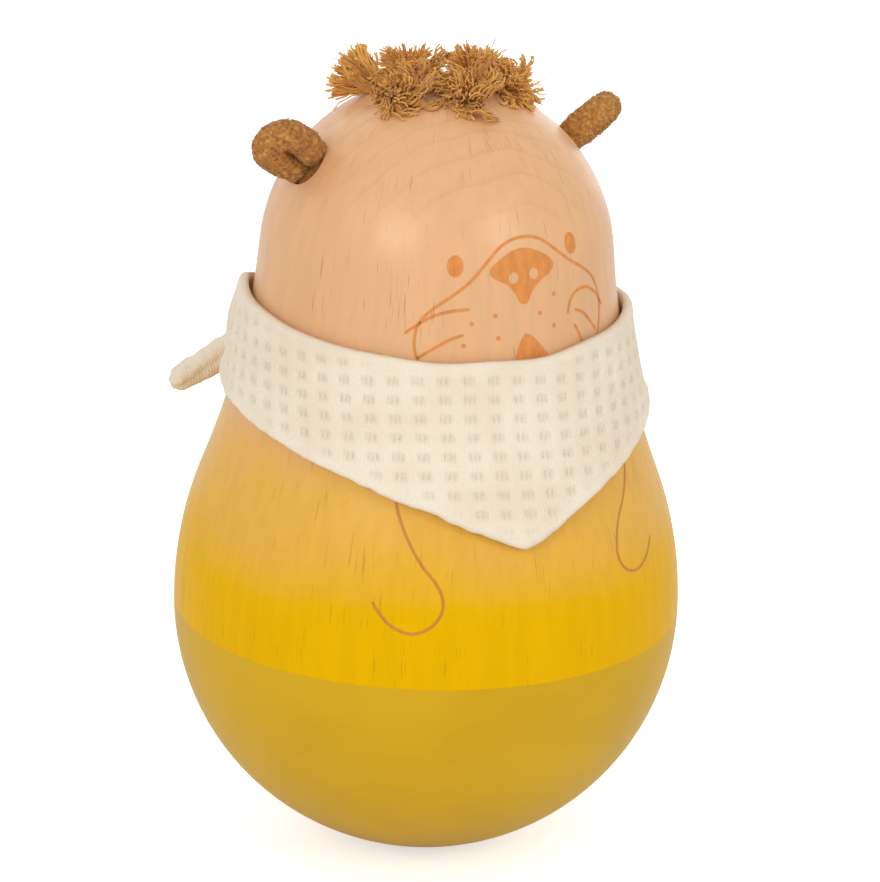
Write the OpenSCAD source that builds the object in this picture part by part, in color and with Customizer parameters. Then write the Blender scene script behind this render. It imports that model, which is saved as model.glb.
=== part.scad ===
// Roly poly toy: a turned wooden figure on a weighted round base, with cord ears, frayed cord hair
// and a cotton bandana that turns about the neck. Millimetres, +Z up.
// The origin is the centre of the small flat under the base, and the face looks towards -Y.
// Left and right are the toy's own, so its left ear is on the +X side.

/* [Turned body] */
// Widest diameter, at the seam between base and upper body
belly_d = 90; // [84:1:98]
// Radius of the curve of the flank, from the seam up
flank_r = 66; // [60:1:74]
// Radius of the hollow curve between flank and head
neck_r = 140; // [115:1:170]
// Diameter of the head
head_d = 61.2; // [57:0.2:66]
// Height of the head's centre above the seam
head_rise = 62.3; // [59:0.1:68]
// Diameter of the flat that the base rests on
foot_d = 14; // [10:1:18]

/* [Hollow] */
// Least thickness of the wooden wall beside each bore of the upper body
wall = 6; // [5:0.5:7]
// Depth of the wide bore, from the seam up
wide_bore_h = 29.5; // [24:0.5:34]
// Depth of the narrow bore, from the seam up
narrow_bore_h = 63.5; // [54:0.5:66]
// Diameter of the bore of the base
bowl_bore_d = 55; // [48:1:56]
// Thickness of wood under the ballast
bowl_floor = 15; // [14:0.5:18]
// Height of the spigot that centres the two halves
spigot_h = 6; // [4:0.5:8]
// Radial clearance of glued and dropped-in pieces
fit_gap = 0.15; // [0.1:0.05:0.25]

/* [Ballast] */
// Height of the steel ballast
ballast_h = 15; // [12:0.5:18]
// Diameter of the screw that holds the ballast
screw_d = 4; // [3:0.5:5]
// Length of the screw in the wooden floor
screw_bite = 10; // [8:0.5:11]
// Diameter of the screw's head
screw_head_d = 8; // [7:0.5:9]
// Height of the screw's head
screw_head_h = 2.6; // [2:0.2:3.4]
// Diameter of the washer
washer_d = 16; // [12:1:20]
// Thickness of the washer
washer_t = 1.2; // [0.8:0.2:2]

/* [Ears] */
// Diameter of the ear cord
ear_cord_d = 4.9; // [4.4:0.1:5.4]
// Slit between the two limbs of a folded cord
ear_slit = 0.4; // [0.3:0.1:0.8]
// Reach of an ear out of the wood
ear_reach = 12.1; // [10.6:0.1:14]
// Depth of an ear's hole
ear_hole_depth = 10; // [7:0.5:12]
// Turn of an ear's hole from the front, in degrees
ear_azimuth = 91; // [84:1:100]
// Height of an ear's hole on the head, in degrees above its equator
ear_latitude = 36; // [32:1:40]
// Turn of the ears' holes towards the front, in degrees
ear_toe = 23; // [0:1:28]
// Slope of the left ear's hole, in degrees above level
ear_left_angle = 42; // [34:1:46]
// Slope of the right ear's hole, in degrees above level
ear_right_angle = 31; // [26:1:40]
// Twist of the left ear from upright, in degrees
ear_twist_left = 68; // [-90:1:90]
// Twist of the right ear from upright, in degrees
ear_twist_right = -43; // [-90:1:90]

/* [Hair] */
// Diameter of the ring of holes on the crown
tuft_ring_d = 21; // [18:0.5:23]
// Diameter of a tuft's cord in its hole
tuft_cord_d = 4.4; // [3.6:0.2:5]
// Longest strand of a tuft
tuft_reach = 9.6; // [8:0.2:11]
// Depth of a tuft's hole
tuft_hole_depth = 7; // [5:0.5:9]

/* [Bandana] */
// Thickness of the folded cotton
cloth_t = 1.8; // [1.4:0.1:2.2]
// Gap between cotton and wood along the lower edge
cloth_gap = 0.5; // [0.4:0.1:0.8]
// Gap between cotton and wood along the upper edge
collar_gap = 0.5; // [0.4:0.1:1.5]
// Height of the upper edge above the seam, at front and back
collar_rise = 52.4; // [50:0.1:56]
// Lift of the upper edge at the sides
collar_lift = 3; // [0:0.2:6]
// Ride of the upper edge up the neck, on the right towards the knot
collar_ride = 2.6; // [0:0.2:4]
// Bulge of the cotton below that, about halfway down
collar_bulge = 1.2; // [0:0.1:1.6]
// Depth of the front point below the upper edge
point_drop = 29; // [24:0.2:34]
// Height of the cotton at the knot
back_h = 8.4; // [7:0.2:12]
// Dip of the cotton towards the knot
back_dip = 9; // [0:0.5:10]
// Depth of the gathers beside the knot
gather_depth = 0.9; // [0:0.1:1.4]
// Turn of the bandana as worn, in degrees
bandana_turn = -5.5; // [-180:0.5:180]
// Radius of the knot
knot_r = 5; // [4.4:0.1:6]
// Width of the knot between the roots of its tails
knot_w = 8; // [6.4:0.2:8.4]
// Thickness of a tail
tail_t = 4.8; // [3.6:0.1:5.4]
// Width of a tail
tail_w = 6.4; // [5.5:0.1:8]
// Reach of a tail to the side of the knot
tail_reach = 31.5; // [24:0.5:36]
// Fall of a tail below the knot
tail_fall = 8.5; // [4:0.5:14]

/* [Hidden] */
// Fineness of the round faces
$fn = 96;

belly_r = belly_d / 2;
head_r = head_d / 2;
foot_r = foot_d / 2;
// The base is half a ball, less the slice that the flat takes off
seam_z = sqrt(belly_r * belly_r - foot_r * foot_r);
head_z = seam_z + head_rise;
top_z = head_z + head_r;
// Overrun of every cut
cut = 1;

// Flank, neck and head are three arcs that touch without a kink.
// The neck's centre lies at the sum of the radii from both the others.
flank_c = [belly_r - flank_r, seam_z];
head_c = [0, head_z];
between = head_c - flank_c;
span = norm(between);
to_flank = flank_r + neck_r;
to_head = head_r + neck_r;
along = (to_flank * to_flank - to_head * to_head + span * span) / (2 * span);
aside = sqrt(to_flank * to_flank - along * along);
neck_c = flank_c + along * between / span + aside * [between[1], -between[0]] / span;
flank_end = flank_c + (neck_c - flank_c) * flank_r / to_flank;
head_start = head_c + (neck_c - head_c) * head_r / to_head;

// Radius of the wood at height z, above the seam
function body_r(z) =
    z < flank_end[1] ? flank_c[0] + sqrt(flank_r * flank_r - pow(z - flank_c[1], 2))
    : z < head_start[1] ? neck_c[0] - sqrt(neck_r * neck_r - pow(z - neck_c[1], 2))
    : sqrt(max(0, head_r * head_r - pow(z - head_z, 2)));

wide_bore_r = body_r(seam_z + wide_bore_h) - wall;
narrow_bore_r = body_r(seam_z + narrow_bore_h) - wall;
spigot_r = wide_bore_r - fit_gap;
bowl_bore_r = bowl_bore_d / 2;
ballast_r = bowl_bore_r - fit_gap;
ballast_top = bowl_floor + ballast_h;
screw_hole_d = screw_d + 2 * fit_gap;
screw_seat = ballast_top + washer_t;
// Cross recess of the screw's head, as shares of the head
recess_width_share = 0.18;
recess_length_share = 0.6;
recess_depth_share = 0.5;

// Share of the cord's size that is left where its hole squeezes it
ear_squeeze_share = 0.77;
ear_cord_r = ear_cord_d / 2;
ear_root_r = ear_cord_r * ear_squeeze_share;
ear_hole_r = ear_slit / 2 + 2 * ear_root_r + fit_gap;
ear_bend_r = ear_cord_r + ear_slit / 2;
ear_bend_z = ear_reach - ear_cord_r - ear_bend_r;
// Most that a hole leans from square to the wood, and so how far its slanted mouth reaches.
// A limb is squeezed as far as that, and full at a share of the way to the bend.
ear_lean = max([for (slope = [ear_left_angle, ear_right_angle])
    acos(cos(ear_latitude) * cos(slope) * cos(ear_toe) + sin(ear_latitude) * sin(slope))]);
ear_mouth_z = ear_hole_r * tan(ear_lean) + fit_gap;
ear_full_share = 0.55;
ear_sides = 12;
ear_bend_steps = 10;

// Frayed cord ends on the crown
tufts = 6;
tuft_ring_r = tuft_ring_d / 2;
tuft_tilt = asin(tuft_ring_r / head_r);
tuft_r = tuft_cord_d / 2;
tuft_hole_r = tuft_r + fit_gap;
// A tuft's strands start this far above the wood
tuft_lift = tuft_r / 2;
tuft_core_share = 0.9;
tuft_core_r = tuft_r * tuft_core_share;
tuft_columns = 24;
tuft_rows = 6;
tuft_low_angle = 6;
tuft_high_angle = 76;
// Each strand is shorter by its own amount, up to this share of the reach, mixed from two angles
tuft_spread_share = 0.3;
tuft_mix = [97, 211];
// Height of the upright strands, as a share of the level ones
tuft_flat_share = 0.75;
// Half the gap between the strands of neighbouring tufts
tuft_gap = fit_gap;

cloth_columns = 64;
cloth_rows = 8;
collar_z = seam_z + collar_rise;
point_z = collar_z - point_drop;
// Lower edge, in degrees: how far round it does most of its climb from the point, how blunt the point is,
// and how much sooner it climbs on the left
edge_climb = 60;
edge_blunt = 2.5;
edge_skew_angle = 5.5;
gathers = 2;
gather_start = 105;
// The upper edge is lowest a little to the right of the point, in degrees.
// It rides up further round to the right: where that is, and how far to each side it fades out.
collar_skew_angle = 11.5;
ride_angle = -118;
ride_fade_angle = 24;
// The bulge below it: its middle and how far up and down it fades out, as shares of the cotton's height
bulge_share = 0.6;
bulge_fade_share = 0.28;
knot_z = collar_z - back_dip - back_h / 2;
knot_seat = max([for (v = [0 : 1 / cloth_rows : 1])
    body_r(knot_z + (v - 0.5) * back_h) + stand_off(180, v) + cloth_t]) + fit_gap;
// Share of the knot's radius between its middle and its flat seat
knot_seat_share = 0.7;
knot_y = knot_seat + knot_r * knot_seat_share;
// Thickness along the knot: a lobe, a groove, the wrap, a groove and a lobe, as shares of its radius
knot_size_shares = [0.62, 0.88, 0.86, 0.76, 1.02, 1.12, 1.02, 0.76, 0.86, 0.88, 0.62];
knot_sides = 20;
tail_sides = 12;
tail_steps = 14;
// Four places that guide a tail's curve: shares of its reach to the side and to the back, and of its fall
tail_out_shares = [0, 0.4, 0.72, 1];
tail_back_shares = [0, 0.12, 0.06, -0.07];
tail_fall_shares = [0, 0.1, 0.7, 1];
tail_size_shares = [0.9, 1.4, 1.4, 0.8];
// Size of the blunt end, and the step that finds the curve's heading
tail_end_share = 0.6;
tail_step_share = 0.01;

// Skin of triangles over a row of rings with equal counts of points.
// A closed row joins its last ring to its first, and an open one ends in two flat caps.
module loft(rings, closed = false) {
    n = len(rings[0]);
    rows = len(rings);
    last = closed ? rows : rows - 1;
    walls = [for (i = [0 : last - 1], j = [0 : n - 1], half = [0, 1])
        let (a = i * n + j)
        let (b = i * n + (j + 1) % n)
        let (c = ((i + 1) % rows) * n + (j + 1) % n)
        let (d = ((i + 1) % rows) * n + j)
        half == 0 ? [a, c, b] : [a, d, c]];
    caps = closed ? [] : [for (j = [1 : n - 2], end = [0, 1])
        let (e = (rows - 1) * n)
        end == 0 ? [0, j, j + 1] : [e, e + j + 1, e + j]];
    polyhedron(points = [for (ring = rings, p = ring) p], faces = concat(walls, caps));
}

// Half section of the upper body: three arcs over the seam, less two bores from below
module upper_section() {
    difference() {
        union() {
            intersection() {
                translate(flank_c)
                    circle(flank_r);
                translate([0, seam_z])
                    square([belly_r, flank_end[1] - seam_z]);
            }
            difference() {
                polygon([[0, flank_end[1]], flank_end, head_start, [0, head_start[1]]]);
                translate(neck_c)
                    circle(neck_r);
            }
            intersection() {
                translate(head_c)
                    circle(head_r);
                translate([0, head_start[1]])
                    square([head_r, top_z - head_start[1]]);
            }
        }
        translate([0, seam_z - cut])
            square([wide_bore_r, wide_bore_h + cut]);
        translate([0, seam_z])
            square([narrow_bore_r, narrow_bore_h]);
    }
}

// Places children at an ear's hole, with +Z out of the hole and +Y up the head.
// A side of 1 is the left ear and -1 the right one.
module at_ear(side) {
    slope = side > 0 ? ear_left_angle : ear_right_angle;
    rotate([0, 0, side * ear_azimuth - 90])
        translate([head_r * cos(ear_latitude), 0, head_z + head_r * sin(ear_latitude)])
            rotate([0, 0, -side * ear_toe])
                rotate([0, 90 - slope, 0])
                    rotate([0, 0, 90])
                        children();
}

// Places children at tuft i on the crown, with +Z out of the wood and +X away from the crown's middle
module at_tuft(i) {
    rotate([0, 0, i * 360 / tufts - 90])
        translate([0, 0, head_z])
            rotate([0, tuft_tilt, 0])
                translate([0, 0, head_r])
                    children();
}

module upper_body() {
    color([0.92, 0.74, 0.5])
        difference() {
            rotate_extrude()
                upper_section();
            for (side = [-1, 1])
                at_ear(side)
                    translate([0, 0, -ear_hole_depth])
                        cylinder(r = ear_hole_r, h = ear_hole_depth + head_r);
            for (i = [0 : tufts - 1])
                at_tuft(i)
                    translate([0, 0, -tuft_hole_depth])
                        cylinder(r = tuft_hole_r, h = tuft_hole_depth + cut);
        }
}

// Half a ball with a flat foot, a spigot on its rim, and a bore with a pilot hole for the screw
module base_bowl() {
    color([0.8, 0.63, 0.13])
        rotate_extrude()
            difference() {
                union() {
                    intersection() {
                        translate([0, seam_z])
                            circle(belly_r);
                        square([belly_r, seam_z]);
                    }
                    translate([0, seam_z - spigot_h])
                        square([spigot_r, 2 * spigot_h]);
                }
                translate([0, bowl_floor])
                    square([bowl_bore_r, seam_z + spigot_h]);
                translate([0, bowl_floor - screw_bite - cut])
                    square([screw_hole_d / 2, bowl_floor]);
            }
}

module ballast_weight() {
    color([0.45, 0.45, 0.47])
        translate([0, 0, bowl_floor])
            difference() {
                cylinder(r = ballast_r, h = ballast_h);
                translate([0, 0, -cut])
                    cylinder(d = screw_hole_d, h = ballast_h + 2 * cut);
            }
}

module ballast_washer() {
    color([0.7, 0.7, 0.72])
        translate([0, 0, ballast_top])
            difference() {
                cylinder(d = washer_d, h = washer_t);
                translate([0, 0, -cut])
                    cylinder(d = screw_hole_d, h = washer_t + 2 * cut);
            }
}

// Pan-head wood screw with a pointed end and a cross recess
module ballast_screw() {
    shank = screw_seat - bowl_floor + screw_bite - screw_d;
    recess = [
        screw_head_d * recess_length_share,
        screw_head_d * recess_width_share,
        2 * screw_head_h * recess_depth_share
    ];
    color([0.75, 0.75, 0.77])
        translate([0, 0, screw_seat])
            difference() {
                union() {
                    cylinder(d1 = screw_head_d, d2 = screw_head_d - screw_head_h, h = screw_head_h);
                    translate([0, 0, -shank])
                        cylinder(d = screw_d, h = shank);
                    translate([0, 0, -shank - screw_d])
                        cylinder(d1 = 0, d2 = screw_d, h = screw_d);
                }
                for (a = [0, 90])
                    translate([0, 0, screw_head_h])
                        rotate([0, 0, a])
                            cube(recess, center = true);
            }
}

// One limb of a folded ear, from the hole's bottom to the bend: [aside, height, radius]
ear_limb = [
    [ear_slit / 2 + ear_root_r, fit_gap - ear_hole_depth, ear_root_r],
    [ear_slit / 2 + ear_root_r, ear_mouth_z, ear_root_r],
    [ear_bend_r, ear_bend_z * ear_full_share, ear_cord_r]
];
ear_bend = [for (i = [0 : ear_bend_steps])
    let (a = 180 * i / ear_bend_steps)
    [ear_bend_r * cos(a), ear_bend_z + ear_bend_r * sin(a), ear_cord_r]];
ear_route = concat(
    ear_limb,
    ear_bend,
    [for (i = [len(ear_limb) - 1 : -1 : 0]) [-ear_limb[i][0], ear_limb[i][1], ear_limb[i][2]]]
);

// Ring of points round place i of an ear's route, square to the way that the route runs there
function ear_ring(i) =
    let (here = ear_route[i])
    let (after = ear_route[min(i + 1, len(ear_route) - 1)])
    let (before = ear_route[max(i - 1, 0)])
    let (heading = atan2(after[1] - before[1], after[0] - before[0]))
    [for (k = [0 : ear_sides - 1])
        let (a = 360 * k / ear_sides)
        [
            here[2] * cos(a),
            here[0] + here[2] * sin(a) * sin(heading),
            here[1] - here[2] * sin(a) * cos(heading)
        ]];

// A short soft cord, folded once, with both limbs squeezed into one round hole
module ear_cord(side, twist) {
    color([0.64, 0.43, 0.22])
        at_ear(side)
            rotate([0, 0, twist])
                loft([for (i = [0 : len(ear_route) - 1]) ear_ring(i)]);
}

// Length of the strand of a tuft that points at angle a from straight outwards.
// It stops short of the plane midway to the next tuft.
function strand(a, rise, row) =
    let (part = 180 / tufts)
    let (nearing = cos(rise) * cos(either_way(a) - 90 - part))
    let (room = tuft_ring_r * sin(part) - tuft_gap)
    let (vary = 1 - tuft_spread_share * abs(sin(tuft_mix[0] * row + tuft_mix[1] * a)))
    min(tuft_reach * vary, nearing > 0 ? room / nearing : tuft_reach);

// Ring of strand ends and of the hollows between them, one by one around the tuft
function tuft_ring(row) =
    let (rise = tuft_low_angle + (tuft_high_angle - tuft_low_angle) * row / (tuft_rows - 1))
    [for (k = [0 : tuft_columns - 1])
        let (a = 360 * k / tuft_columns)
        let (r = (row + k) % 2 == 0 ? strand(a, rise, row) : tuft_core_r)
        [r * cos(rise) * cos(a), r * cos(rise) * sin(a), tuft_lift + tuft_flat_share * r * sin(rise)]];

function level_ring(r, z) =
    [for (k = [0 : tuft_columns - 1])
        let (a = 360 * k / tuft_columns)
        [r * cos(a), r * sin(a), z]];

// The frayed end of a cord that is glued into the crown: strands fan out above a plain plug
module hair_tuft(i) {
    tip_r = tuft_core_r * cos(tuft_high_angle) / 2;
    color([0.65, 0.42, 0.19])
        at_tuft(i)
            loft(concat(
                [level_ring(tuft_r, fit_gap - tuft_hole_depth), level_ring(tuft_r, tuft_lift)],
                [for (row = [0 : tuft_rows - 1]) tuft_ring(row)],
                [level_ring(tip_r, tuft_lift + tuft_flat_share * tuft_core_r)]
            ));
}

// Angle from the point, up to half a turn to the left or, below 0, to the right.
// The same without its sign, and how near to the knot it is, from 0 to 1.
function half_turn(a) = a > 180 ? a - 360 : a;
function either_way(a) = abs(half_turn(a));
function nearness(a) = pow(max(0, (either_way(a) - gather_start) / (180 - gather_start)), 2);

// Share of the ride and the bulge at angle a, from 0 to 1
function riding(a) = exp(-pow((half_turn(a) - ride_angle) / ride_fade_angle, 2));

// Upper and lower edges of the cotton at angle a from the point
function upper_edge(a) =
    let (skew = collar_skew_angle * cos(half_turn(a) / 2))
    collar_z + collar_lift * pow(sin(a + skew), 2) + collar_ride * riding(a) - back_dip * nearness(a);
function lower_edge(a) =
    let (way = either_way(a) + edge_skew_angle * sin(a))
    let (turn = sqrt(way * way + edge_blunt * edge_blunt) - edge_blunt)
    let (climb = (1 - exp(-turn / edge_climb)) / (1 - exp(-180 / edge_climb)))
    point_z + (point_drop - back_h) * climb - back_dip * nearness(a);

// Distance between cotton and wood at angle a, at share v of the way up, with the bulge and the gathers
function stand_off(a, v) =
    cloth_gap + (collar_gap - cloth_gap) * v * v
        + collar_bulge * riding(a) * exp(-pow((v - bulge_share) / bulge_fade_share, 2))
        + gather_depth * nearness(a) * (1 - cos(360 * gathers * v)) / 2;

// Closed section of the cotton at angle a from the point: up the inside, down the outside
function cloth_ring(a) =
    let (low = lower_edge(a))
    let (high = upper_edge(a))
    [for (side = [0, 1], k = [0 : cloth_rows])
        let (v = side == 0 ? k / cloth_rows : 1 - k / cloth_rows)
        let (z = low + v * (high - low))
        let (r = body_r(z) + stand_off(a, v) + side * cloth_t)
        [r * sin(a), -r * cos(a), z]];

module bandana_cloth() {
    color([0.93, 0.87, 0.78])
        rotate([0, 0, bandana_turn])
            loft([for (i = [0 : cloth_columns - 1]) cloth_ring(360 * i / cloth_columns)], closed = true);
}

// Ring i along the knot, flat on the side that lies on the cotton
function knot_ring(i) =
    [for (k = [0 : knot_sides - 1])
        let (a = -360 * k / knot_sides)
        let (r = knot_r * knot_size_shares[i])
        [
            knot_w * (i / (len(knot_size_shares) - 1) - 0.5),
            max(knot_y + r * sin(a), knot_seat),
            knot_z + r * cos(a)
        ]];

// The two ends crossed and wrapped once round, with flat ends where the tails leave
module bandana_knot() {
    color([0.9, 0.84, 0.74])
        rotate([0, 0, bandana_turn])
            loft([for (i = [0 : len(knot_size_shares) - 1]) knot_ring(i)]);
}

// Smooth way through four values at share u of the way, as a cubic Bezier curve
function blend(p, u) =
    p[0] * pow(1 - u, 3) + 3 * p[1] * u * pow(1 - u, 2) + 3 * p[2] * u * u * (1 - u) + p[3] * pow(u, 3);

function tail_place(u) = [
    knot_w / 2 + tail_reach * blend(tail_out_shares, u),
    knot_y + tail_reach * blend(tail_back_shares, u),
    knot_z - tail_fall * blend(tail_fall_shares, u)
];

// Oval section of a tail, upright at the knot and square to the tail further out
function tail_ring(u) =
    let (p = tail_place(u))
    let (way = tail_place(u + tail_step_share) - tail_place(u - tail_step_share))
    let (lean = u == 0 ? 0 : atan2(way[2], way[0]))
    let (size = blend(tail_size_shares, u) * (u == 1 ? tail_end_share : 1))
    [for (k = [0 : tail_sides - 1])
        let (a = -360 * k / tail_sides)
        let (across = size * tail_t / 2 * cos(a))
        let (deep = size * tail_w / 2 * sin(a))
        [p[0] - across * sin(lean), p[1] + deep, p[2] + across * cos(lean)]];

// A rolled end of the bandana beyond the knot; a side of 1 is the left one
module bandana_tail(side) {
    color([0.88, 0.82, 0.72])
        rotate([0, 0, bandana_turn])
            mirror([side < 0 ? 1 : 0, 0, 0])
                loft([for (i = [0 : tail_steps]) tail_ring(i / tail_steps)]);
}

base_bowl();
upper_body();
ballast_weight();
ballast_washer();
ballast_screw();
ear_cord(1, ear_twist_left);  // ear_cord_left
ear_cord(-1, ear_twist_right);  // ear_cord_right
for (i = [0 : tufts - 1])
    hair_tuft(i);
bandana_cloth();
bandana_knot();
bandana_tail(1);  // bandana_tail_left
bandana_tail(-1);  // bandana_tail_right
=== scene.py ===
"""A wooden roly poly toy with cord ears, frayed cord hair and a cotton bandana, dressed over its frame."""
import math

import bpy
import numpy as np
from mathutils import Matrix, Vector
from mathutils.bvhtree import BVHTree


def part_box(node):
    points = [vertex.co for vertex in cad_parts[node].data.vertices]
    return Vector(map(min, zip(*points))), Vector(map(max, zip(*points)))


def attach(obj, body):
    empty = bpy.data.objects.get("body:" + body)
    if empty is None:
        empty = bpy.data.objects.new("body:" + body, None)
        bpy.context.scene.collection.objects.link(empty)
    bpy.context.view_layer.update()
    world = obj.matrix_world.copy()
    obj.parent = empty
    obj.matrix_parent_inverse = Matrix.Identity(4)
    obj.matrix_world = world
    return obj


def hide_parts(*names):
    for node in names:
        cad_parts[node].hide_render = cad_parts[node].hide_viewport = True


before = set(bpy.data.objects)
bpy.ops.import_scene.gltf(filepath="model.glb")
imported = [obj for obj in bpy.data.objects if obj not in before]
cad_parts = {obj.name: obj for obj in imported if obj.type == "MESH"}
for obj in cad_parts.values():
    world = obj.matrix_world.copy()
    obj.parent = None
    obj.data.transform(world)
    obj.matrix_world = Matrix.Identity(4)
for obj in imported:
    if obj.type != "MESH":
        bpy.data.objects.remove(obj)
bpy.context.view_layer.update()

MM = 0.001
PX = 882  # the photograph's longer side, in pixels
RNG = np.random.default_rng(20)

# Measures of the frame
HEAD_RADIUS = 30.6 * MM
HEAD_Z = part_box("upper_body")[1].z - HEAD_RADIUS
HEAD_C = np.array([0, 0, HEAD_Z])
CLOTH_NODE = "bandana_cloth"
TUFTS = sorted(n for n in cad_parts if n.startswith("hair_tuft_"))


# Meshes

def points_of(node):
    """A CAD node's different corners, as an array in metres."""
    corners = np.array([v.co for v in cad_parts[node].data.vertices])
    return np.unique(corners.round(7), axis=0)


def add_object(name, data):
    """A new object in the scene."""
    made = bpy.data.objects.new(name, data)
    bpy.context.scene.collection.objects.link(made)
    return made


def new_piece(name, points, faces, material, body):
    """A mesh object that rides on a body."""
    mesh = bpy.data.meshes.new(name)
    mesh.from_pydata(np.asarray(points).tolist(), [], [list(map(int, f)) for f in faces])
    mesh.validate()
    mesh.shade_smooth()
    mesh.materials.append(material)
    piece = add_object(name, mesh)
    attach(piece, body)
    return piece


def paint(piece, name, values):
    """A number at each point, for the piece's material."""
    kept = piece.data.attributes.new(name, "FLOAT", "POINT")
    kept.data.foreach_set("value", np.asarray(values, np.float32))


def unit(vectors):
    length = np.linalg.norm(vectors, axis=-1, keepdims=True)
    return vectors / np.maximum(length, 1e-12)


def ring_faces(rows, sides, first=0):
    """Quads between rows of points with the same count in each."""
    i = np.arange(rows - 1)[:, None] * sides
    j = np.arange(sides)[None, :]
    k = (j + 1) % sides
    quads = np.stack([i + j, i + k, i + sides + k, i + sides + j], -1)
    return quads.reshape(-1, 4) + first


def tubes(paths, radii, sides):
    """Thin tubes along paths of equal counts of points: paths (n, k, 3), radii (n, k)."""
    n, k, _ = paths.shape
    way = unit(np.gradient(paths, axis=1))
    aside = unit(RNG.normal(size=(n, 1, 3)))
    aside = unit(aside - way * (aside * way).sum(-1, keepdims=True))
    over = np.cross(way, aside)
    turn = 2 * math.pi * np.arange(sides) / sides
    round_it = (
        aside[:, :, None] * np.cos(turn)[:, None] + over[:, :, None] * np.sin(turn)[:, None]
    )
    points = paths[:, :, None] + round_it * radii[:, :, None, None]
    walls = ring_faces(k, sides)
    caps = [list(range(sides))[::-1], list(range((k - 1) * sides, k * sides))]
    faces = []
    for tube in range(n):
        first = tube * k * sides
        faces += (walls + first).tolist()
        faces += [[first + c for c in cap] for cap in caps]
    return points.reshape(-1, 3), faces


def join_parts(parts):
    """Several (points, faces) as one."""
    points, faces, first = [], [], 0
    for more, shapes in parts:
        points.append(np.asarray(more))
        faces += [[first + int(i) for i in f] for f in shapes]
        first += len(more)
    return np.concatenate(points), faces


WELD_GAP = 0.01 * MM
SMOOTH_SHARE = 0.5


def soft_copy(node, name, material, body, voxel, rounds):
    """A finer, rounder copy of a soft CAD solid, which it stands for."""
    piece = add_object(name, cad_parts[node].data.copy())
    for kind, settings in (
        ("WELD", {"merge_threshold": WELD_GAP}),
        ("REMESH", {"mode": "VOXEL", "voxel_size": voxel}),
        ("SMOOTH", {"factor": SMOOTH_SHARE, "iterations": rounds}),
    ):
        step = piece.modifiers.new(kind.lower(), kind)
        for key, value in settings.items():
            setattr(step, key, value)
    bpy.context.view_layer.update()
    shape = piece.evaluated_get(bpy.context.evaluated_depsgraph_get())
    piece.data = bpy.data.meshes.new_from_object(shape)
    piece.modifiers.clear()
    piece.data.name = name
    piece.data.materials.clear()
    piece.data.materials.append(material)
    piece.data.shade_smooth()
    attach(piece, body)
    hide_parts(node)
    return piece


def points_and_normals(piece):
    """A piece's points and their normals, as arrays."""
    mesh = piece.data
    points = np.empty(len(mesh.vertices) * 3)
    mesh.vertices.foreach_get("co", points)
    normals = np.array([n.vector for n in mesh.vertex_normals])
    return points.reshape(-1, 3), normals


def set_points(piece, points):
    piece.data.vertices.foreach_set("co", np.asarray(points, float).ravel())
    piece.data.update()


def smoothstep(low, high, value):
    """0 at or before low, 1 at or past high, and a soft rise between them."""
    t = np.clip((value - low) / (high - low), 0, 1)
    return t * t * (3 - 2 * t)


def waves(points, size, count, seed):
    """A smooth random value from about -1 to 1 at each point, with bumps of about that size."""
    rng = np.random.default_rng(seed)
    ways = unit(rng.normal(size=(count, 3))) * rng.uniform(0.7, 1.4, (count, 1))
    phase = rng.uniform(0, 2 * math.pi, count)
    return np.sin(points @ ways.T * (math.pi / size) + phase).sum(1) / math.sqrt(count)


def between(p0, p1, p2, p3, t):
    """A place on the smooth curve from p1 to p2 (Catmull-Rom)."""
    return 0.5 * (
        2 * p1 + (p2 - p0) * t + (2 * p0 - 5 * p1 + 4 * p2 - p3) * t**2
        + (3 * p1 - p0 - 3 * p2 + p3) * t**3
    )


# Materials

def srgb(r, g, b):
    """A colour as the shaders take it, from 0 to 255 values."""
    share = np.array([r, g, b]) / 255
    linear = np.where(share <= 0.04045, share / 12.92, ((share + 0.055) / 1.055) ** 2.4)
    return (*linear.tolist(), 1)


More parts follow.
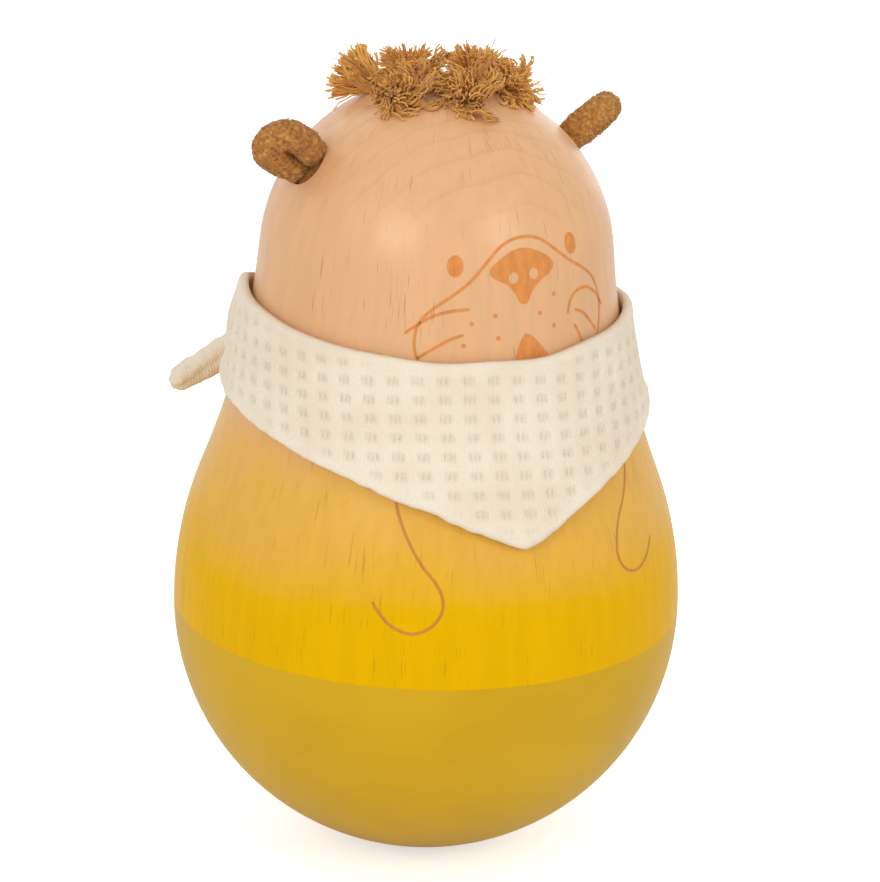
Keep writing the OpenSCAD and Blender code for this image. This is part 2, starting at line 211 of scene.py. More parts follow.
class Shader:
    """A material made of nodes, one call for each node."""

    def __init__(self, name):
        self.material = bpy.data.materials.new(name)
        self.material.use_nodes = True
        self.tree = self.material.node_tree
        self.tree.nodes.clear()

    def add(self, kind, inputs=None, **settings):
        made = self.tree.nodes.new("ShaderNode" + kind)
        for key, value in settings.items():
            setattr(made, key, value)
        for key, value in (inputs or {}).items():
            if isinstance(value, bpy.types.NodeSocket):
                self.tree.links.new(value, made.inputs[key])
            else:
                made.inputs[key].default_value = value
        return made

    def place(self, stretch):
        """Coordinates on the toy in millimetres, times a share along each axis."""
        co = self.add("TexCoord").outputs["Object"]
        scale = [s / MM for s in stretch]
        return self.add("Mapping", {"Vector": co, "Scale": scale}, vector_type="POINT").outputs[0]

    def xyz(self):
        """The three coordinates on the toy, in metres."""
        co = self.add("TexCoord").outputs["Object"]
        return self.add("SeparateXYZ", {0: co}).outputs

    def distance(self, x, y):
        squares = self.math("ADD", self.math("MULTIPLY", x, x), self.math("MULTIPLY", y, y))
        return self.math("SQRT", squares)

    def wrapped(self, stretch):
        """Coordinates round and up the turned wood in millimetres, times a share along each."""
        x, y, z = self.xyz()
        angle = self.math("ARCTAN2", x, self.math("MULTIPLY", y, -1.0))
        above = self.math("MAXIMUM", self.math("SUBTRACT", z, HEAD_Z), 0.0)
        bow = self.math("ARCTAN2", above, self.distance(x, y))
        up = self.math("ADD", self.math("MINIMUM", z, HEAD_Z), self.math("MULTIPLY", bow, HEAD_RADIUS))
        around = self.math("MULTIPLY", angle, stretch[0] * HEAD_RADIUS / MM)
        up = self.math("MULTIPLY", up, stretch[1] / MM)
        return self.add("CombineXYZ", {0: around, 1: up}).outputs[0]

    def attribute(self, name):
        return self.add("Attribute", attribute_name=name).outputs["Fac"]

    def noise(self, vector, detail=2.0, roughness=0.5):
        inputs = {"Vector": vector, "Scale": 1.0, "Detail": detail, "Roughness": roughness}
        return self.add("TexNoise", inputs).outputs[0]

    def math(self, operation, a, b=0.0, clamp=False):
        return self.add("Math", {0: a, 1: b}, operation=operation, use_clamp=clamp).outputs[0]

    def span(self, value, low, high, to_low=0.0, to_high=1.0):
        """A value's place between two bounds, held inside them."""
        inputs = {0: value, 1: low, 2: high, 3: to_low, 4: to_high}
        return self.add("MapRange", inputs, interpolation_type="SMOOTHSTEP").outputs[0]

    def mix(self, share, a, b, blend="MIX"):
        made = self.add("Mix", {0: share, 6: a, 7: b}, data_type="RGBA", blend_type=blend)
        return made.outputs[2]

    def ramp(self, value, stops):
        """A colour by a value from 0 to 1, from (place, colour) stops."""
        made = self.add("ValToRGB", {0: value})
        band = made.color_ramp.elements
        while len(band) < len(stops):
            band.new(0.5)
        for element, (place, colour) in zip(band, stops):
            element.position = place
            element.color = colour
        return made.outputs[0]

    def bump(self, height, distance, strength=1.0):
        inputs = {"Height": height, "Distance": distance, "Strength": strength}
        return self.add("Bump", inputs).outputs[0]

    def done(self, **inputs):
        named = {key.replace("_", " "): value for key, value in inputs.items()}
        surface = self.add("BsdfPrincipled", named).outputs[0]
        self.add("OutputMaterial", {"Surface": surface})
        return self.material


def grey(value):
    return (value, value, value, 1)


# Growth rings of the beech: where the tree's heart was, and how far apart the rings are
PITH = (4.0 * MM, 75.0 * MM)
RING_GAP = 3.3 * MM
RING_SWAY = 1.6  # in rings
RING_SHARPNESS = 9.0
RING_BAND = (114 * MM, 125 * MM)  # heights between which the rings come out
RING_LEAST = 0.08  # their share under that band
RING_SHARE = 0.17
RING_TINT = srgb(176, 112, 62)
# Short dark flecks: where the noise has to rise to, in bare places and in crowded ones
FLECK_FLOOR = (0.71, 0.625)
FLECK_SHARPNESS = 12.0
FLECK_BAND = (70 * MM, 92 * MM)  # heights between which the flecks get dark
FLECK_LEAST = 0.55  # their share under that band
FLECK_SHARE = 0.52
FLECK_TINT = srgb(150, 90, 42)
FLECK_BUMP = (-0.03 * MM, 0.5)  # depth and strength
STREAK_TONES = (grey(0.965), grey(1.03))


def beech_figure(shader):
    """Soft streaks, growth rings and short flecks of the wood, each from 0 to 1."""
    streaks = shader.noise(shader.place((0.45, 0.45, 0.015)), 3.0, 0.6)
    sway = shader.noise(shader.place((0.06, 0.06, 0.012)), 2.0)
    x, y, z = shader.xyz()
    off = shader.distance(shader.math("SUBTRACT", x, PITH[0]), shader.math("SUBTRACT", y, PITH[1]))
    rings = shader.math("DIVIDE", off, RING_GAP)
    rings = shader.math("ADD", rings, shader.math("MULTIPLY", sway, RING_SWAY))
    ring = shader.math("POWER", shader.math("FRACT", rings), RING_SHARPNESS)
    ring = shader.math("MULTIPLY", ring, shader.span(z, *RING_BAND, RING_LEAST, 1.0))
    fleck = shader.noise(shader.wrapped((2.9, 0.13)), 1.0)
    where = shader.noise(shader.place((0.09, 0.09, 0.05)), 1.0)
    floor = shader.span(where, 0.35, 0.7, *FLECK_FLOOR)
    fleck = shader.math("MULTIPLY", shader.math("SUBTRACT", fleck, floor), FLECK_SHARPNESS, clamp=True)
    fleck = shader.math("MULTIPLY", fleck, shader.span(z, *FLECK_BAND, FLECK_LEAST, 1.0))
    return streaks, ring, fleck


def beech_tint(shader, colour):
    """The colour of the wood with its figure in it."""
    streaks, ring, fleck = beech_figure(shader)
    pale = shader.mix(shader.span(streaks, 0.3, 0.7), *STREAK_TONES)
    tinted = shader.mix(1.0, colour, pale, "MULTIPLY")
    tinted = shader.mix(shader.math("MULTIPLY", ring, RING_SHARE), tinted, RING_TINT)
    return shader.mix(shader.math("MULTIPLY", fleck, FLECK_SHARE), tinted, FLECK_TINT), fleck


# Yellow stain by height above the table in millimetres: share of the stain in the wood
STAIN = (
    (54.0, 1.0), (57.0, 0.985), (58.4, 0.91), (61.0, 0.84), (65.0, 0.73),
    (70.0, 0.67), (75.0, 0.62), (80.0, 0.49), (85.0, 0.22), (93.0, 0.0),
)
STAIN_BAND = (44.0 * MM, 94.0 * MM)
BLOT_BAND = (58.0 * MM, 70.0 * MM)  # heights between which the stain gets blotchy
STAIN_SWAY = (9 * MM, 28 * MM)  # how far the stain sways under and over that band


def stain_share(shader):
    """How yellow the wood is, from 0 to 1."""
    z = shader.xyz()[2]
    sway = shader.noise(shader.place((0.035, 0.035, 0.05)), 3.0)
    reach = shader.span(z, *BLOT_BAND, *STAIN_SWAY)
    z = shader.math("ADD", z, shader.math("MULTIPLY", shader.math("SUBTRACT", sway, 0.5), reach))
    low, high = STAIN_BAND
    share = shader.add("MapRange", {0: z, 1: low, 2: high}).outputs[0]
    stops = [((mm * MM - low) / (high - low), grey(s)) for mm, s in STAIN]
    return shader.ramp(share, stops)


CROWN_BAND = (8 * MM, 13 * MM)  # distances from the axis between which the painted shade and the dull wood of the crown end
CROWN_LOW = 125 * MM
# painted shade on the crown: how far it darkens the wood, and towards what colour
CROWN_SHADE = 0.4
CROWN_SHADE_TINT = srgb(150, 94, 58)
BARE_TINT, STAIN_TINT = srgb(226, 173, 122), srgb(229, 175, 0)
BEECH_ROUGHNESS = (0.29, 0.37)
BEECH_GLOSS = (0.5, 0.02)  # on bare and on stained wood
BEECH_SHEEN = 0.12
WOOD_SHEEN_ROUGHNESS = 0.35


def crown_shade_share(shader):
    """How much painted shade darkens the wood between the tufts of hair, where it is also dull, from 0 to 1.
    """
    x, y, z = shader.xyz()
    near = shader.span(shader.distance(x, y), *CROWN_BAND, 1.0, 0.0)
    return shader.math("MULTIPLY", near, shader.math("GREATER_THAN", z, CROWN_LOW))


def beech():
    """Clear satin lacquer on beech, stained yellow towards the seam, with painted shade on the dull crown
    under the hair.
    """
    shader = Shader("beech")
    stain = stain_share(shader)
    base = shader.mix(stain, BARE_TINT, STAIN_TINT)
    colour, fleck = beech_tint(shader, base)
    crown = crown_shade_share(shader)
    # painted shade: the wood between the tufts of hair darkened towards brown
    colour = shader.mix(shader.math("MULTIPLY", crown, CROWN_SHADE), colour, CROWN_SHADE_TINT)
    bare = shader.math("SUBTRACT", 1.0, crown)
    shine = shader.span(stain, 0.0, 0.9, *BEECH_GLOSS)
    gloss = shader.noise(shader.place((0.4, 0.4, 0.1)), 2.0)
    return shader.done(
        Base_Color=colour,
        Roughness=shader.span(gloss, 0.2, 0.8, *BEECH_ROUGHNESS),
        Normal=shader.bump(fleck, *FLECK_BUMP),
        Specular_IOR_Level=shader.math("MULTIPLY", shine, bare),
        Sheen_Weight=shader.math("MULTIPLY", bare, BEECH_SHEEN),
        Sheen_Roughness=WOOD_SHEEN_ROUGHNESS,
    )


def ink(name, dark, pale):
    """Ink on the wood, which shows through a little."""
    shader = Shader(name)
    blot = shader.noise(shader.place((0.9, 0.9, 0.5)), 2.0)
    base = shader.mix(shader.span(blot, 0.3, 0.7), dark, pale)
    colour, fleck = beech_tint(shader, base)
    return shader.done(
        Base_Color=colour,
        Roughness=0.45,
        Normal=shader.bump(fleck, *FLECK_BUMP),
        Specular_IOR_Level=0.22,
    )


def lacquer():
    """Opaque ochre lacquer over turned wood."""
    shader = Shader("ochre_lacquer")
    cloud = shader.noise(shader.place((0.045, 0.045, 0.06)), 3.0)
    turned = shader.noise(shader.place((0.05, 0.05, 1.1)), 2.0)
    peel = shader.noise(shader.place((1.3, 1.3, 1.3)), 2.0)
    base = shader.mix(shader.span(cloud, 0.3, 0.7), srgb(205, 161, 20), srgb(213, 169, 26))
    colour = shader.mix(shader.math("MULTIPLY", turned, 0.1), base, srgb(184, 140, 30))
    uneven = shader.math("ADD", shader.math("MULTIPLY", turned, 0.6), peel)
    return shader.done(
        Base_Color=colour,
        Roughness=shader.span(cloud, 0.2, 0.8, 0.36, 0.44),
        Normal=shader.bump(uneven, 0.02 * MM, 0.4),
        Specular_IOR_Level=0.14,
        Sheen_Weight=0.06,
        Sheen_Roughness=WOOD_SHEEN_ROUGHNESS,
    )


def metal(name, dark, pale, roughness):
    """Turned metal with fine rings and a few dull patches."""
    shader = Shader(name)
    rings = shader.noise(shader.place((0.3, 0.3, 6.0)), 2.0)
    dull = shader.noise(shader.place((0.12, 0.12, 0.12)), 3.0)
    colour = shader.mix(shader.span(dull, 0.3, 0.7), dark, pale)
    rough = shader.math("ADD", shader.math("MULTIPLY", rings, 0.12), roughness)
    return shader.done(
        Base_Color=colour, Metallic=1.0, Roughness=rough, Normal=shader.bump(rings, 0.02 * MM, 0.4)
    )


CLOTH_ROUGHNESS = 0.95
CLOTH_SHEEN_ROUGHNESS = 0.5
CORD_TONES = ((0.0, srgb(124, 76, 30)), (0.5, srgb(188, 130, 66)), (1.0, srgb(236, 178, 92)))


def cord():
    """Soft brown cotton yarn: each strand has its own tone."""
    shader = Shader("brown_cord")
    tone = shader.attribute("tone")
    speck = shader.noise(shader.place((1.1, 1.1, 1.1)), 3.0, 0.7)
    tone = shader.math("ADD", tone, shader.math("MULTIPLY", shader.math("SUBTRACT", speck, 0.5), 0.5))
    fibre = shader.noise(shader.place((5.0, 5.0, 5.0)), 2.0)
    return shader.done(
        Base_Color=shader.ramp(tone, CORD_TONES),
        Roughness=CLOTH_ROUGHNESS,
        Normal=shader.bump(fibre, 0.08 * MM, 0.6),
        Specular_IOR_Level=0.15,
        Sheen_Weight=0.15,
        Sheen_Roughness=CLOTH_SHEEN_ROUGHNESS,
    )


# Gaps between neighbouring yarns of the cotton, in millimetres: all over, and down in the pits, where they
# stripe the painted shade
YARN_GAP = 0.42
PIT_YARN_GAP = 0.85
# how strong the painted shade in the pits, folds and creases is
PIT_SHADE = 0.36


def cotton():
    """Cream waffle cotton: fine yarns both ways, painted shade between them, and painted shade down in the
    pits and in the folds and creases.
    """
    shader = Shader("cream_cotton")
    uv = shader.add("UVMap").outputs[0]
    along, up, _ = shader.add("SeparateXYZ", {0: uv}).outputs
    fuzz = shader.noise(shader.place((2.6, 2.6, 2.6)), 3.0, 0.7)
    sway = shader.math("MULTIPLY", shader.noise(shader.place((0.7, 0.7, 0.7))), 3.0)

    def yarns(run, gap):
        turns = shader.math("MULTIPLY", run, 2 * math.pi / gap)
        return shader.math("SINE", shader.math("ADD", turns, sway))

    warp, weft = yarns(along, YARN_GAP), yarns(up, YARN_GAP)
    yarn = shader.math("ADD", shader.math("MULTIPLY", warp, 0.6), shader.math("MULTIPLY", weft, 0.3))
    yarn = shader.math("ADD", yarn, shader.math("MULTIPLY", fuzz, 1.6))
    cloud = shader.noise(shader.place((0.1, 0.1, 0.1)), 3.0)
    pale = shader.mix(shader.span(cloud, 0.3, 0.7), srgb(238, 223, 199), srgb(244, 231, 210))
    # darker between the yarns: painted shade in their gaps, with random tone from the fuzz
    yarn_gap_shaded = shader.mix(shader.span(yarn, -0.6, 1.6, 0.1, 0.0), pale, srgb(212, 194, 164))
    # painted shade: the cotton darker down in its pits and in the folds and creases, striped by the yarns
    # there
    shade = shader.math("MULTIPLY", shader.attribute("painted_shade"), shader.span(fuzz, 0.3, 0.7, 0.5, 1.3))
    strand = yarns(along, PIT_YARN_GAP)
    shade = shader.math("MULTIPLY", shade, shader.span(strand, -1.0, 1.0, 0.6, 1.5))
    colour = shader.mix(shader.math("MULTIPLY", shade, PIT_SHADE), yarn_gap_shaded, srgb(192, 178, 150))
    return shader.done(
        Base_Color=colour,
        Roughness=CLOTH_ROUGHNESS,
        Normal=shader.bump(yarn, 0.07 * MM, 0.7),
        Specular_IOR_Level=0.12,
        Sheen_Weight=0.12,
        Sheen_Roughness=CLOTH_SHEEN_ROUGHNESS,
    )


BEECH = beech()
INK = ink("face_ink", srgb(213, 133, 65), srgb(223, 145, 77))
ARM_INK = ink("arm_ink", srgb(198, 126, 48), srgb(207, 135, 56))
CORD = cord()
COTTON = cotton()


def finish_cad_node(node, material):
    """Puts a finish on a CAD node that is shown as it is."""
    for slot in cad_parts[node].material_slots:
        slot.material = material


# Face and arms, printed on the wood

WOOD = BVHTree.FromPolygons(
    [v.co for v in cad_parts["upper_body"].data.vertices],
    [p.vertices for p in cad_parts["upper_body"].data.polygons],
)
RAY_START = 100 * MM  # from the axis, outside the toy
INK_LIFT = 0.03 * MM
NOSTRIL_LIFT = 0.05 * MM
LINE_W = 0.5 * MM
WHISKER_W = 0.52 * MM
ARM_W = 0.5 * MM
FACE_RADIUS = 30.5  # millimetres of width per radian on the face


def on_wood(angle, height, lift=0.0):
    """The place on the wood at an angle from the front, in degrees, and a height in millimetres."""
    a = math.radians(angle)
    out = Vector((math.sin(a), -math.cos(a), 0))
    far = out * RAY_START + Vector((0, 0, height * MM))
    place, normal, _, _ = WOOD.ray_cast(far, -out)
    return np.array(place + normal * lift), np.array(normal)


def smooth_line(corners, steps):
    """Points along a smooth line through the corners."""
    c = np.asarray(corners, float)
    c = np.concatenate([[2 * c[0] - c[1]], c, [2 * c[-1] - c[-2]]])
    made = []
    for i in range(1, len(c) - 2):
        for t in np.arange(steps) / steps:
            made.append(between(*c[i - 1 : i + 3], t))
    return np.array(made + [c[-2]])


def stroke(corners, width, steps=8):
    """A pen line on the wood with round ends."""
    line = smooth_line(corners, steps)
    top = [on_wood(a, z, INK_LIFT) for a, z in line]
    places = np.array([p for p, _ in top])
    normals = np.array([n for _, n in top])
    way = unit(np.gradient(places, axis=0))
    side = np.cross(normals, way)
    run = np.concatenate([[0], np.linalg.norm(np.diff(places, axis=0), axis=1).cumsum()])
    to_end = np.minimum(run, run[-1] - run) / (width / 2)
    share = np.sqrt(np.clip(1 - (1 - np.clip(to_end, 0, 1)) ** 2, 0.03, 1))
    half = (side * share[:, None]) * width / 2
    rows = np.stack([places - half, places + half], 1)
    i = 2 * np.arange(len(rows) - 1)[:, None]
    return rows.reshape(-1, 3), (i + np.array([0, 2, 3, 1])).tolist()


def patch(outline, lift=INK_LIFT, rings=5):
    """A filled shape on the wood, from its outline in (angle, height)."""
    outline = np.asarray(outline, float)
    middle = outline.mean(0)
    n = len(outline)
    points = [on_wood(*middle, lift)[0]]
    for k in range(1, rings + 1):
        for corner in middle + (outline - middle) * k / rings:
            points.append(on_wood(*corner, lift)[0])
    faces = [[0, 1 + j, 1 + (j + 1) % n] for j in range(n)]
    faces += ring_faces(rings, n, 1)[:, ::-1].tolist()
    return np.array(points), faces


def oval(angle, height, width, tall, count=28):
    """An oval's outline in (angle, height), from its size in millimetres."""
    t = 2 * math.pi * np.arange(count) / count
    across = width / 2 * np.cos(t)
    up = tall / 2 * np.sin(t)
    return np.stack([angle + np.degrees(across / FACE_RADIUS), height + up], 1)


def closed_line(corners, steps=6):
    """Outline of a closed smooth shape through its corners."""
    c = list(corners)
    line = smooth_line(c[-2:] + c + c[:2], steps)
    return line[2 * steps : (len(c) + 2) * steps]


# Sizes in millimetres; places and lines as (degrees from the front, millimetres up)
EYE_SIZE = (2.75, 3.5)
NOSTRIL_SIZE = (1.7, 1.9)
FRECKLE_SIZE = (0.75, 0.75)
EYES = ((-22.1, 112.3), (20.0, 114.4))
NOSE = (
    (0.0, 114.8), (-4.6, 114.2), (-9.3, 112.6), (-11.2, 111.3), (-9.6, 110.1), (-5.4, 109.0),
    (-2.6, 107.3), (-1.3, 106.0), (0.2, 105.7), (1.6, 106.0), (3.0, 107.5), (5.9, 109.1),
    (10.0, 110.4), (11.4, 111.7), (9.6, 113.0), (4.8, 114.3),
)
NOSTRILS = ((-3.4, 110.1), (3.7, 110.5))
MOUTH = (
    (0.8, 100.8), (-0.9, 100.1), (-2.2, 98.5), (-3.6, 96.2), (-2.6, 95.0), (3.0, 94.8),
    (8.6, 95.4), (9.2, 96.3), (6.2, 98.3), (3.0, 100.2),
)
MUZZLE = (
    (-31.5, 96.2), (-33.2, 97.8), (-33.8, 99.8), (-33.3, 101.9), (-32.0, 103.5), (-29.4, 104.9),
    (-26.0, 106.3), (-21.7, 107.9), (-16.9, 110.0), (-12.6, 112.5), (-8.1, 114.9), (-3.2, 116.2),
    (2.4, 116.5), (7.6, 115.8), (12.7, 114.0), (18.6, 111.8), (26.2, 109.6), (30.6, 107.7),
    (33.4, 105.1), (33.9, 102.5), (32.5, 99.8), (30.0, 97.2), (28.6, 95.8),
)
WHISKERS = (
    ((-36.9, 101.1), (-32.9, 102.7), (-28.2, 104.2), (-22.9, 105.0), (-17.3, 105.3)),
    ((-32.9, 97.2), (-28.3, 98.8), (-23.6, 100.3), (-19.0, 101.2)),
    ((16.9, 102.9), (17.7, 104.4), (19.4, 105.7), (22.2, 106.5), (26.9, 106.5), (32.0, 105.0), (35.6, 102.6)),
    ((19.9, 103.4), (23.8, 102.6), (27.3, 100.9), (30.2, 99.0)),
    ((19.5, 101.0), (21.2, 99.5), (22.9, 97.4)),
)
FRECKLES = (
    (-9.5, 104.1), (-16.8, 102.9), (-8.5, 100.4), (-19.2, 99.4), (11.3, 106.7), (5.8, 103.9), (10.9, 101.5),
)
ARMS = (
    (
        (-36.4, 75.6), (-35.2, 72.6), (-32.6, 68.8), (-29.2, 65.0), (-26.2, 62.5), (-24.5, 60.2),
        (-24.4, 57.7), (-26.6, 55.2), (-30.8, 53.9), (-35.2, 55.0), (-38.2, 57.2), (-39.6, 58.8),
    ),
    (
        (34.2, 80.0), (33.6, 76.4), (29.4, 72.0), (24.2, 68.4), (21.8, 65.4), (21.2, 62.6),
        (23.2, 60.2), (27.4, 59.3), (32.2, 60.6), (36.4, 63.4),
    ),
)


def make_print():
    """The toy's face and arms in brown ink."""
    parts = [stroke(MUZZLE, LINE_W)]
    parts += [stroke(w, WHISKER_W) for w in WHISKERS]
    parts += [patch(oval(a, z, *EYE_SIZE)) for a, z in EYES]
    parts += [patch(closed_line(NOSE)), patch(closed_line(MOUTH))]
    parts += [patch(oval(a, z, *FRECKLE_SIZE, count=12), rings=2) for a, z in FRECKLES]
    face = new_piece("face_print", *join_parts(parts), INK, "toy")
    arms = new_piece("arm_print", *join_parts([stroke(a, ARM_W) for a in ARMS]), ARM_INK, "toy")
    gaps = [patch(oval(a, z, *NOSTRIL_SIZE), NOSTRIL_LIFT, 3) for a, z in NOSTRILS]
    nostrils = new_piece("nostrils", *join_parts(gaps), BEECH, "toy")


# Hair and ears

LOCKS = 27
LOCK_STRANDS = 11
STRAND_POINTS = 13
STRAND_R = (0.14 * MM, 0.24 * MM)
# How each tuft stands: its lean away from the crown and sideways, the rise of its lowest locks in degrees,
# the share of curl in its strands, their length, and how pale it is
TUFT_HABITS = {
    "hair_tuft_1": (0.05, -0.55, -10, 1.25, 10.8 * MM, 0.1),
    "hair_tuft_2": (0.55, -0.4, -6, 1.2, 10.4 * MM, 0.34),
    "hair_tuft_3": (-0.4, 0.0, 22, 0.6, 10.4 * MM, 0.3),
    "hair_tuft_4": (-0.45, 0.0, 18, 0.7, 9.8 * MM, 0.3),
    "hair_tuft_5": (0.82, 0.0, 76, 0.6, 13.0 * MM, 0.3),
    "hair_tuft_6": (0.25, 0.0, -12, 1.35, 10.8 * MM, 0.1),
}
TUFT_ROOT_R = 2.1 * MM
TUFT_SINK = 1.2 * MM
TUFT_LEAN = 0.35  # turn of the strands from straight outwards, in radians
TUFT_OVERLAP = 1.6 * MM
TUFT_YIELD = 0.6
STRAND_GAP = 0.3 * MM
GOLDEN_TURN = math.radians(137.5)
STRAY_STRANDS = 34
STRAY_R = (0.06 * MM, 0.1 * MM)
STRAY_REACH_SHARE = 1.1
LOCK_SPREAD, STRAY_SPREAD = 0.28, 0.5  # of the strands' ways, in radians
LOCK_SIDES, STRAY_SIDES = 5, 4
STRAND_TIP = 0.8  # share of its thickness that a strand keeps
STRAND_TONE_JITTER = 0.11
ROOT_SHADE = 0.35  # painted shade: how much darker a strand is where it starts, deep in the tuft
PLUG_END = 0.5 * MM
# Locks: degrees that the steepest rises, jitter in radians, and the ranges that they are drawn from
STEEPEST = 86
TURN_JITTER, RISE_JITTER, PHASE_JITTER = 0.2, 0.14, 0.8
SWIRL = (1.0, 0.5)
CURLS = (0.7, 1.3)
CYCLES = (1.4, 3.0)
LOCK_REACH = (0.64, 1)
LOCK_TONES = (0.46, 0.82)
STRAND_REACH = (0.92, 1)
# Strands: curl sideways and up, how soon they bend, how far they droop, and what steep ones lose in length
CURL_ASIDE, CURL_UP = 0.6, 0.36
BEND_RATE = 1.8
DROOP = 0.3
STEEP_LOSS = 0.2
START_JITTER = 0.22 * MM


def tuft_axes(node, out, aside):
    """Where a tuft's cord leaves the head, and its axes: along the tuft, away from the crown, sideways."""
    cad = points_of(node)
    depth = np.linalg.norm(cad - HEAD_C, axis=1)
    plug_end = cad[depth < depth.min() + PLUG_END].mean(0)
    wood = unit(plug_end - HEAD_C)
    sideways = unit(np.cross((0, 0, 1), wood))
    up = unit(wood + out * np.cross(sideways, wood) + aside * sideways)
    sideways = unit(np.cross(np.cross(up, sideways), up))
    return HEAD_C + wood * HEAD_RADIUS, up, np.cross(sideways, up), sideways


def lock_plan(rng, locks, strands, lowest, curl):
    """What the strands of each lock share, as columns with a row for each strand."""
    share = (np.arange(locks) + 0.5) / locks
    plan = {
        "share": share,
        "turn": np.arange(locks) * GOLDEN_TURN + rng.normal(0, TURN_JITTER, locks),
        "rise": np.radians(STEEPEST - (STEEPEST - lowest) * share) + rng.normal(0, RISE_JITTER, locks),
        "swirl": rng.normal(*SWIRL, locks) * curl,
        "curl": rng.uniform(*CURLS, locks) * curl,
        "phase": rng.uniform(0, 2 * math.pi, locks),
        "cycles": rng.uniform(*CYCLES, locks),
        "reach": rng.uniform(*LOCK_REACH, locks),
        "tone": rng.uniform(*LOCK_TONES, locks),
    }
    return {key: np.repeat(value, strands)[:, None] for key, value in plan.items()}


def strand_paths(axes, plan, rng, length, spread):
    """Wavy strands that rise from the root and bend out to their lock's way, as an array (n, points, 3)."""
    place, up, ahead, sideways = axes
    n = len(plan["turn"])
    t = np.linspace(0, 1, STRAND_POINTS)
    phase = 2 * math.pi * plan["cycles"] * t + plan["phase"] + rng.normal(0, PHASE_JITTER, (n, 1))
    curl = plan["curl"]
    heading = plan["turn"] + (plan["swirl"] + rng.normal(0, spread, (n, 1))) * t
    heading = heading + CURL_ASIDE * curl * np.sin(phase) + TUFT_LEAN
    bend = (plan["rise"] - math.pi / 2) * np.clip(BEND_RATE * t, 0, 1)
    angle = math.pi / 2 + bend + CURL_UP * curl * np.cos(phase)
    angle = angle + rng.normal(0, spread, (n, 1)) * t - DROOP * t**2

    def level(a):
        return np.cos(a)[..., None] * ahead + np.sin(a)[..., None] * sideways

    step = np.cos(angle)[..., None] * level(heading) + np.sin(angle)[..., None] * up
    long = length * plan["reach"] * (1 - STEEP_LOSS * np.sin(plan["rise"]) ** 2)
    long = long * rng.uniform(*STRAND_REACH, (n, 1))
    root = place - up * TUFT_SINK + TUFT_ROOT_R * plan["share"] * level(plan["turn"][:, 0])
    root = root + rng.normal(0, START_JITTER, (n, 3))
    path = root[:, None] + np.cumsum(step, 1) * (long / STRAND_POINTS)[..., None]
    return keep_in_wedge(keep_off_head(path), axes)


def keep_off_head(paths):
    """Strands lie on the wood where they would go into it."""
    away = paths - HEAD_C
    far = np.linalg.norm(away, axis=-1, keepdims=True)
    lifted = HEAD_C + away / far * np.maximum(far, HEAD_RADIUS + STRAND_GAP)
    lifted[:, 0] = paths[:, 0]
    return lifted


def keep_in_wedge(paths, axes):
    """Strands press against the neighbouring tufts instead of passing through them."""
    outward = unit((axes[0] - HEAD_C) * (1, 1, 0))
    sideways = np.cross((0, 0, 1), outward)
    half = math.pi / len(TUFTS)
    for sign in (-1, 1):
        wall = sign * sideways * math.cos(half) - outward * math.sin(half)
        past = paths @ wall - TUFT_OVERLAP
        paths = paths - np.maximum(past, 0)[..., None] * wall * TUFT_YIELD
    return paths


ROOT_SUNK = 0.5 * MM
ROOT_GAP = 0.1 * MM
ROOT_INSIDE = 2.0 * MM
ROOT_RINGS = 10
ROOT_HUB = 0.05  # share of the radius that the middle face takes
ROOT_SIDES = 40
ROOT_ROUGH = (0.16 * MM, 0.8 * MM)  # height and size of its lumps
ROOT_TONE = (0.2, 0.16)


def make_root(node, name):
    """The glued end of a cord, which fills its hole to just under the wood's surface."""
    cad = points_of(node)
    ends = cad[np.linalg.norm(cad - HEAD_C, axis=1) < HEAD_RADIUS - ROOT_INSIDE]
    foot = ends.mean(0)
    across, over, out = np.linalg.svd(ends - foot)[2]
    out = out * np.sign(out @ (foot - HEAD_C))
    over = np.cross(out, across)
    wide = np.linalg.norm(ends - foot, axis=1).max() + ROOT_GAP
    turn = 2 * math.pi * np.arange(ROOT_SIDES) / ROOT_SIDES
    ring = np.cos(turn)[:, None] * across + np.sin(turn)[:, None] * over
    start = foot - HEAD_C + np.linspace(ROOT_HUB, 1, ROOT_RINGS)[:, None, None] * wide * ring
    along = start @ out
    lumps = waves(start.reshape(-1, 3), ROOT_ROUGH[1], 20, 3).reshape(along.shape)
    level = HEAD_RADIUS - ROOT_SUNK + ROOT_ROUGH[0] * lumps
    rise = np.sqrt(along**2 - (start**2).sum(-1) + level**2) - along
    points = (HEAD_C + start + rise[..., None] * out).reshape(-1, 3)
    faces = ring_faces(ROOT_RINGS, ROOT_SIDES)[:, ::-1].tolist() + [list(range(ROOT_SIDES))]
    root = new_piece(name, points, faces, CORD, "toy")
    paint(root, "tone", ROOT_TONE[0] + ROOT_TONE[1] * waves(points, 0.5 * MM, 20, 4))


